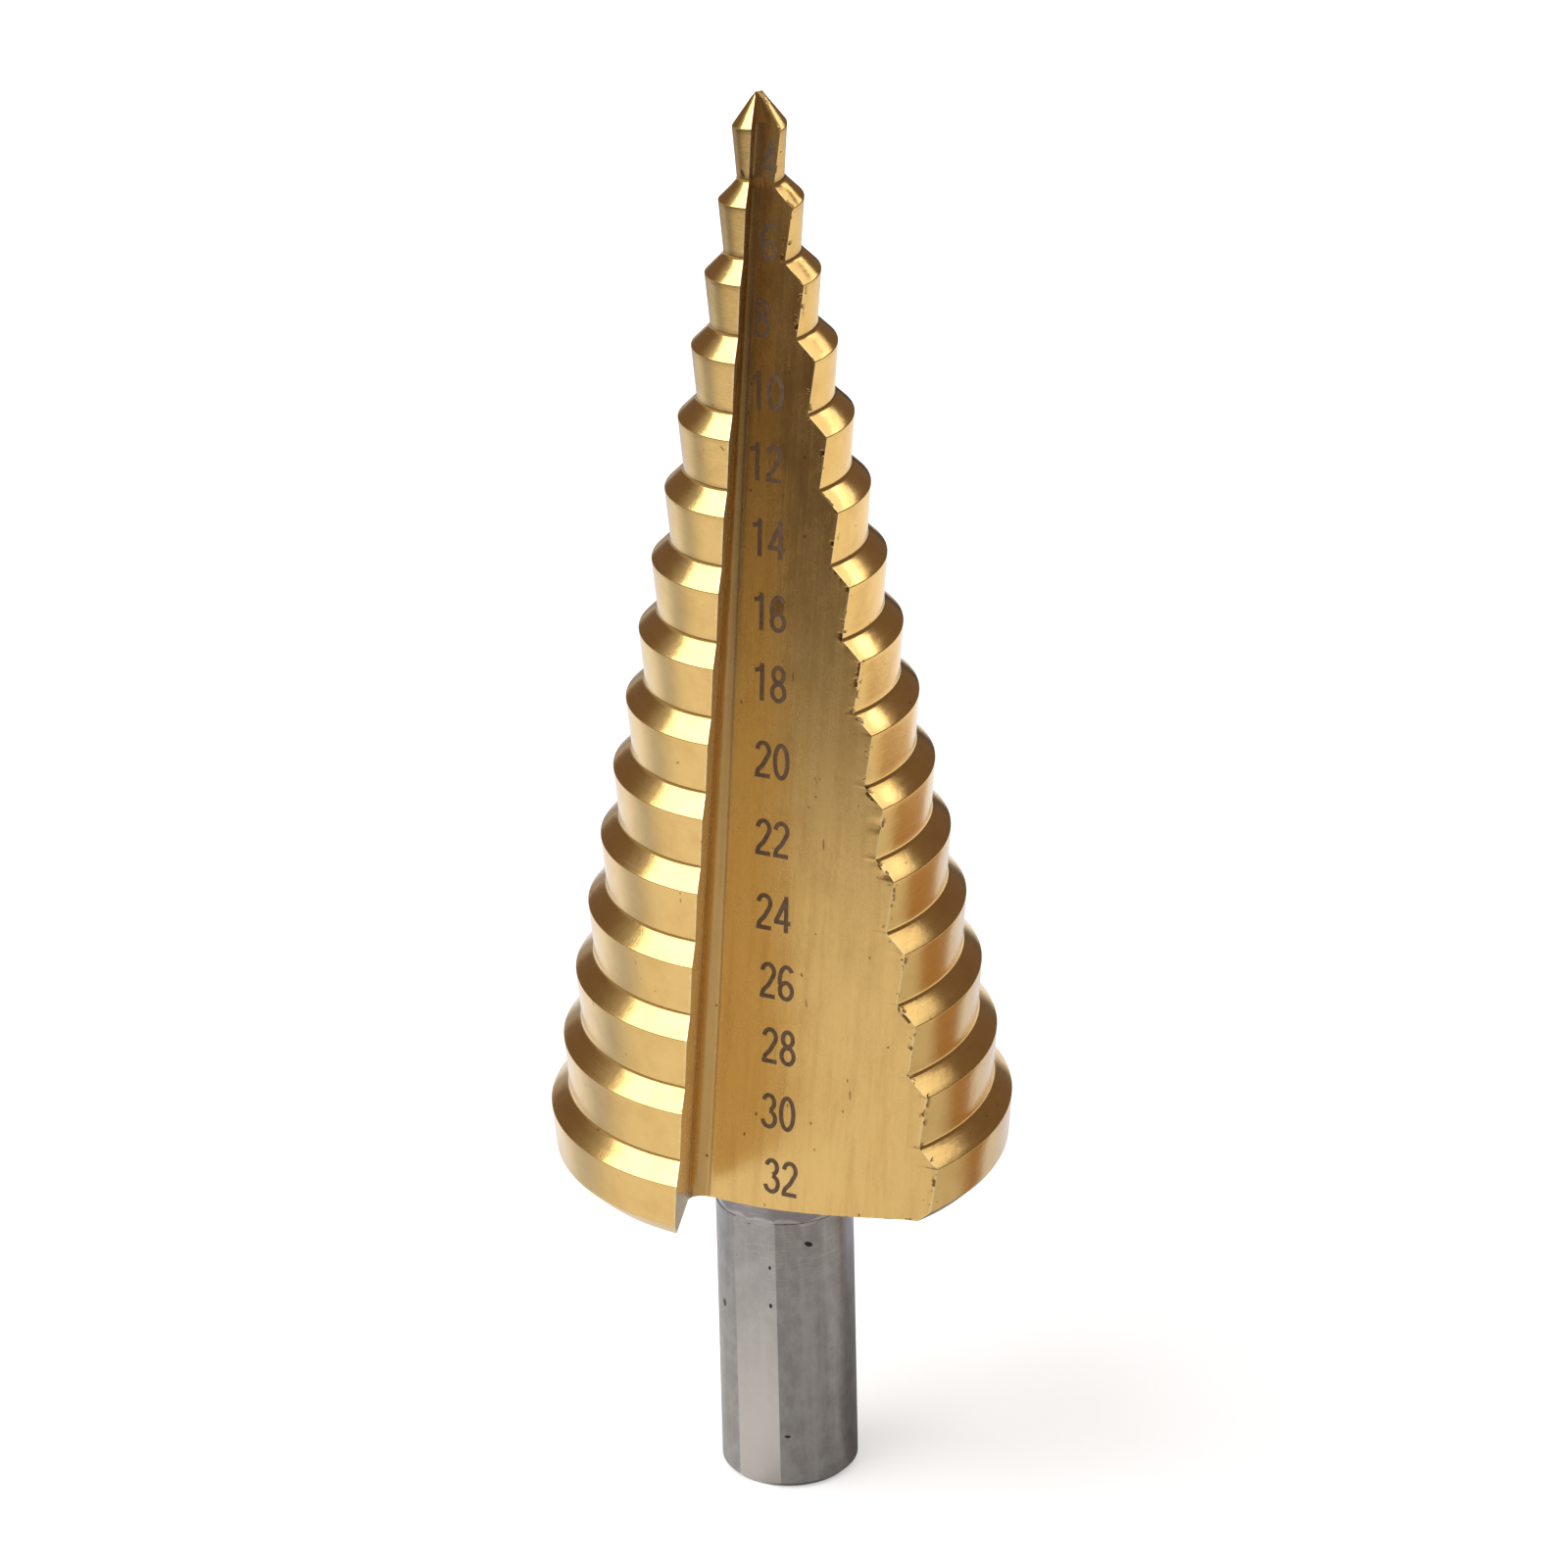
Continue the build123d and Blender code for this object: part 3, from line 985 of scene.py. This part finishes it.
# %% One skin of numbers
parts = []
for mesh in layers:
    bmesh.ops.recalc_face_normals(mesh, faces=mesh.faces)
    bmesh.ops.scale(mesh, vec=(MM, MM, MM), verts=mesh.verts)
    data = bpy.data.meshes.new("strokes")
    mesh.to_mesh(data)
    parts.append(bpy.data.objects.new("strokes", data))
    bpy.context.scene.collection.objects.link(parts[-1])
for extra in parts[1:]:
    union = parts[0].modifiers.new("union", "BOOLEAN")
    union.operation, union.solver, union.object = "UNION", "MANIFOLD", extra
view = bpy.context.evaluated_depsgraph_get()
mesh = bpy.data.meshes.new_from_object(parts[0].evaluated_get(view))
for part in parts:
    bpy.data.objects.remove(part)
mesh.name = "size_numbers"
mesh.materials.clear()
mesh.materials.append(ink)
size_numbers = bpy.data.objects.new("size_numbers", mesh)
bpy.context.scene.collection.objects.link(size_numbers)
print("the numbers have", len(mesh.polygons), "faces")

# %% [markdown]
# ## One body
# The drill has no joints, so all pieces ride on the same body. The head and the shank stand in for the plain
# part, and the numbers lie on top.

# %% Ride on one body
for piece, slot in ((stepped_head, "coated_head"), (round_shank, "bare_shank"), (size_numbers, "size_marks")):
    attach(piece, "root")
    if piece is not size_numbers:
        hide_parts("step_drill")
    print(piece.name, "carries", slot)


# %% [markdown]
# ## The studio
# The drill stands on white paper. Polished metal shows its surroundings more than its own colour, so the paper
# looks plain to the camera but has painted light and shade in mirror rays: a painted pool of light beside the
# large lamp, a warm painted shadow of the drill to the right, pale zones of painted light behind, and painted
# shade far away. The zones are found from direction and distance on the paper.

# %% Directions and distances on the paper
paper = Pattern("white_paper", Roughness=0.9, Specular_IOR_Level=0.0)


def towards(start, end):
    """Grows from 0 to 1 while the direction turns from start to end, in degrees from the front to the right."""
    return paper.step(paper.turn, radians(start), radians(end))


def farther(start, end):
    """Grows from 0 to 1 while the distance from the axis goes from start to end, in millimetres."""
    return paper.step(paper.reach, start, end)


# the zones below are painted light and shade, which only mirror rays see
left, right = towards(-75.0, -105.0), towards(62.0, 84.0)
away, clear = farther(34.0, 56.0), farther(32.0, 42.0)
# silver: a pale zone of painted light to the left
silver = towards(-98.0, -128.0) * away
# beyond: a pale zone of painted light to the right
beyond = right * farther(84.0, 122.0) * farther(330.0, 250.0)
# brown: the warm painted shadow of the drill on the paper
brown = towards(93.0, 107.0) * clear * farther(132.0, 98.0)
# behind: a pale zone of painted light behind the drill
behind = paper.step(paper.turn - paper.reach * 0.01, 1.475, 1.56) * clear
# painted shade far away on the paper
painted_far_shade = paper.step(paper.reach - right * 60.0, 120.0, 256.0)
across, ahead = paper.x / paper.reach, paper.y / paper.reach
# painted pool of the key lamp's light
painted_lamp_pool = paper.step(across * -0.80 + ahead * -0.60, 0.75, 0.99)
print("the zones of the paper take", len(paper.tree.nodes), "nodes")

# %% [markdown]
# ### Colours of the paper
# Each zone of painted light and shade is laid over the ones before it. Gold tints what it reflects, so zones that
# should look silvery on the drill are a little blue. Only mirror rays see these colours: the light that the paper
# throws back on the drill is plain.

# %% Colours of the zones
DARK = (0.05, 0.028, 0.018)
beside = paper.turn + (24.0 - paper.reach).most(0.0) * 0.03
# near paper as the metal sees it: lighter to the left and right as painted light
near = paper.mix(towards(-50.0, -86.0), (0.60, 0.59, 0.58), (0.90, 0.89, 0.87))
near = paper.mix(towards(66.0, 80.0), near, (0.92, 0.91, 0.89))
# grey from 98 to 114 degrees: painted shadow of the drill near its foot
near = paper.mix(paper.step(beside, radians(98.0), radians(114.0)), near, (0.38, 0.37, 0.37))
mirrored = paper.mix(away, near, paper.mix(left, (0.76, 0.74, 0.70), (0.56, 0.61, 0.76)))
# far edge of the paper: painted shade, lighter to the left
horizon = paper.mix(towards(-64.0, -80.0), DARK, (0.45, 0.39, 0.32))
zones = ((beyond, (1.0, 0.96, 0.88)), (brown, (0.46, 0.26, 0.105)), (silver, (0.80, 0.86, 1.0)),
         (behind, (0.74, 0.80, 1.0)), (painted_lamp_pool, (0.97, 0.97, 0.97)), (painted_far_shade, DARK),
         (farther(325.0, 430.0), horizon))
for share, colour in zones:
    mirrored = paper.mix(share, mirrored, colour)
path = paper.node("ShaderNodeLightPath").outputs
colour = paper.mix(path["Is Glossy Ray"], (0.85, 0.85, 0.85), mirrored)
paper.tree.links.new(colour, paper.shader.inputs["Base Color"])
print("laid", len(zones), "zones over the near paper")

# %% [markdown]
# ### White paper
# A lamp strong enough to make the paper white would wash out the drill. A glow for the rays of the camera lifts
# it instead, more with distance, so the drill keeps its soft shadow. Mirror rays get a little of the glow too,
# more in the pale zones, where it is painted light that shows in the metal.

# %% Glow of the paper
eye, mirror, through = (Value(paper.tree, path[f"Is {kind} Ray"]) for kind in ("Camera", "Glossy", "Transmission"))
to_eye = farther(140.0, 380.0) * 0.5 + 0.45
# glow that only the metal sees: painted light in the pale zones
painted_glow_to_metal = behind * 0.16 + silver * 0.24 + beyond * 0.25 + 0.02
glow = paper.made("ShaderNodeEmission", {"Strength": eye * to_eye + (mirror + through) * painted_glow_to_metal})
both = paper.made("ShaderNodeAddShader", {0: paper.shader.outputs[0], 1: glow})
paper.tree.links.new(both, paper.tree.nodes["Material Output"].inputs[0])

disc = bmesh.new()
bmesh.ops.create_circle(disc, cap_ends=True, segments=128, radius=0.6, matrix=Matrix.Translation((0, 0.05, 0)))
mesh = bpy.data.meshes.new("floor")
disc.to_mesh(mesh)
mesh.materials.append(paper.material)
floor = bpy.data.objects.new("floor", mesh)
bpy.context.scene.collection.objects.link(floor)
print("the paper is", round(2 * max(v.co.x for v in mesh.vertices), 2), "m across")

# %% [markdown]
# ### The camera
# The lens and place come from fitting the widths and heights of the steps in the picture. The camera stands a
# little to the right of the front and looks down by about 25 degrees.

# %% Camera
FOCAL_LENGTH = 154.775            # millimetres
AZIMUTH = radians(7.1)
BACK, UP = 0.4098, 0.24475        # metres from the axis and above the paper
ASIDE, DIP, ROLL = -0.0015, 0.4394, -0.0227      # radians
camera_data = bpy.data.cameras.new("camera")
camera_data.lens = FOCAL_LENGTH
camera_data.clip_start = 0.01
camera = bpy.data.objects.new("camera", camera_data)
bpy.context.scene.collection.objects.link(camera)
bpy.context.scene.camera = camera
camera.matrix_world = (Matrix.Rotation(AZIMUTH, 4, "Z") @ Matrix.Translation((0, -BACK, UP))
                       @ Matrix.Rotation(ASIDE, 4, "Z") @ Matrix.Rotation(pi / 2 - DIP, 4, "X")
                       @ Matrix.Rotation(ROLL, 4, "Z"))
print("the camera looks from", [round(c, 3) for c in camera.matrix_world.translation], "m")


# %% [markdown]
# ### Lamps
# One large softbox on the left lights the shoulders and the paper. A long narrow one on the right gives the
# short bright ends of the shoulders beside the flute. A very small one hangs close to the point, so that it
# shows in the point's right side but not in the shoulders further down.

# %% Lamps
def softbox(name, direction, distance, width, height, power):
    """A rectangular lamp that stands in a direction from the middle of the drill and faces it."""
    data = bpy.data.lights.new(name, "AREA")
    data.shape, data.size, data.size_y, data.energy = "RECTANGLE", width, height, power
    lamp = bpy.data.objects.new(name, data)
    bpy.context.scene.collection.objects.link(lamp)
    direction = Vector(direction).normalized()
    lamp.location = Vector((0, 0, 0.05)) + direction * distance
    lamp.rotation_euler = direction.to_track_quat("Z", "Y").to_euler()
    lamp.visible_camera = False
    print(name, "gives", power, "W from", round(distance, 2), "m")


softbox("key", (-0.605, -0.257, 0.757), 0.75, 0.75, 0.72, 4.6)
softbox("side", (0.700, -0.135, 0.713), 0.75, 0.88, 0.23, 0.66)
softbox("low", (0.0814, 0.047, 0.0842), 0.126, 0.062, 0.021, 0.0072)

# %% [markdown]
# ### The room
# The background is white for the camera. For light and mirror rays it is a room with dim warm walls and a pale
# ceiling, which starts lower on the left.

# %% The room: white to the eye, a pale ceiling and dim walls to the metal
world = bpy.data.worlds.new("room")
bpy.context.scene.world = world
world.use_nodes = True
room = Nodes(world.node_tree)
x, y, z = room.parts(room.node("ShaderNodeTexCoord").outputs["Generated"])
higher = room.value("ShaderNodeMapRange", {"Value": x, "From Min": -0.2, "From Max": 0.3, "To Max": 0.18})
ceiling = room.step(z - higher, 0.38, 0.62)
to_left = room.value("ShaderNodeMapRange", {"Value": x * -0.94 + y * -0.34, "From Min": 0.62, "From Max": 0.85})
walls = room.mix(to_left, (0.185, 0.125, 0.09), (0.42, 0.36, 0.30))
lit = room.mix(ceiling, walls, (0.48, 0.48, 0.48))
seen = room.mix(room.node("ShaderNodeLightPath").outputs["Is Camera Ray"], lit, (1.0, 1.0, 1.0))
room.tree.links.new(seen, room.tree.nodes["Background"].inputs["Color"])
print("the room takes", len(room.tree.nodes), "nodes")

# %% Close
bpy.context.scene.view_settings.view_transform = "Standard"
print("colours are shown as", bpy.context.scene.view_settings.view_transform)
